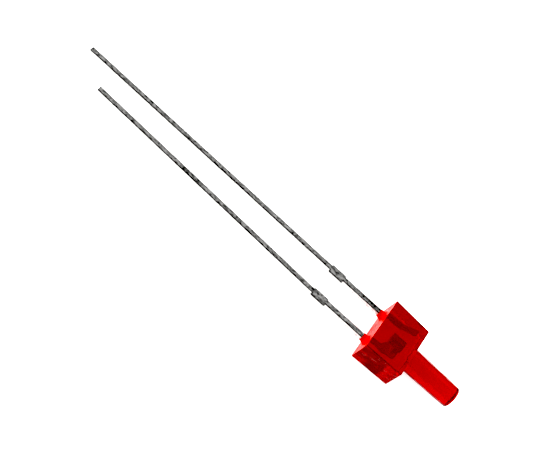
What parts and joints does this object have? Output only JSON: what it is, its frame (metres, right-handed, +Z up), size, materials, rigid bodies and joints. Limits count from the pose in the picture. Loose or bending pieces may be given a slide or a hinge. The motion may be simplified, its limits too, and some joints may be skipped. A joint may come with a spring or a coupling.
{
  "type": "through-hole led",
  "caption": "Through-hole LED lying on its side: clear red resin case with a rectangular base and a slim round light tower, on long square tinned leads.",
  "frame": {"origin": "middle of the flat face of the base that the leads come out of", "axes": "+X along the optical axis towards the tip of the tower, +Y from the short cathode lead to the long anode lead, +Z up, across the thickness of the base as it lies"},
  "size_m": [0.0353, 0.0046, 0.0022],
  "materials": {
    "resin": "clear cast resin, tinted red, with a moulded gloss",
    "lead_frame": "tin-plated steel sheet, stamped, with fine marks along the lead",
    "chip": "sawn semiconductor with a small round contact",
    "glue": "silver-filled glue, dull",
    "gold_wire": "drawn gold, bright"
  },
  "bodies": {
    "root": {"case": "resin", "cathode_lead": "lead_frame", "anode_lead": "lead_frame", "led_chip": "chip", "chip_glue": "glue", "bond_wire": "gold_wire"}
  },
  "joints": []
}
